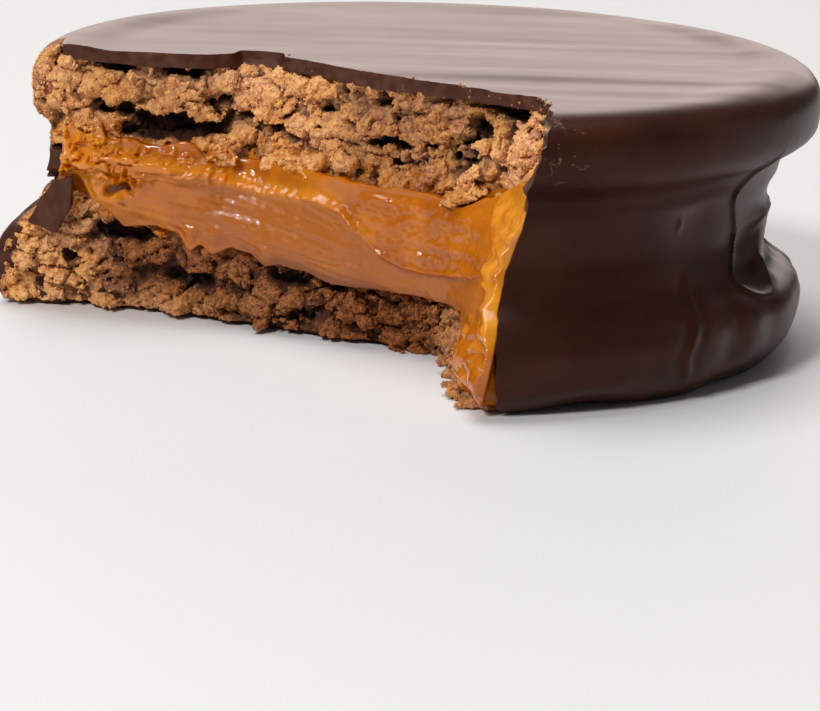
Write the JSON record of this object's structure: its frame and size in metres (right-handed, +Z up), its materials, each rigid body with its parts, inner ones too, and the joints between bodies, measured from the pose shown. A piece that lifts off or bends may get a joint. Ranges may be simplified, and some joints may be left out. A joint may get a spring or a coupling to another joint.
{
  "type": "alfajor cookie",
  "caption": "Dark chocolate-coated alfajor cookie with a bite taken out, showing two crumbly biscuits around a layer of dulce de leche",
  "frame": {"origin": "under the middle of the cookie's outline, on the flat face it rests on", "axes": "+Z up through the layers; -Y towards the bite and the viewer; +X to the right as the bite is seen"},
  "size_m": [0.063, 0.0602, 0.0215],
  "materials": {
    "chocolate": "satin dark chocolate",
    "biscuit": "open brown crumb",
    "dulce_de_leche": "sticky and glossy"
  },
  "bodies": {
    "root": {"chocolate_coating": "chocolate", "top_biscuit": "biscuit", "dulce_de_leche": "dulce_de_leche", "bottom_biscuit": "biscuit", "coating_fragment": "chocolate"}
  },
  "joints": []
}
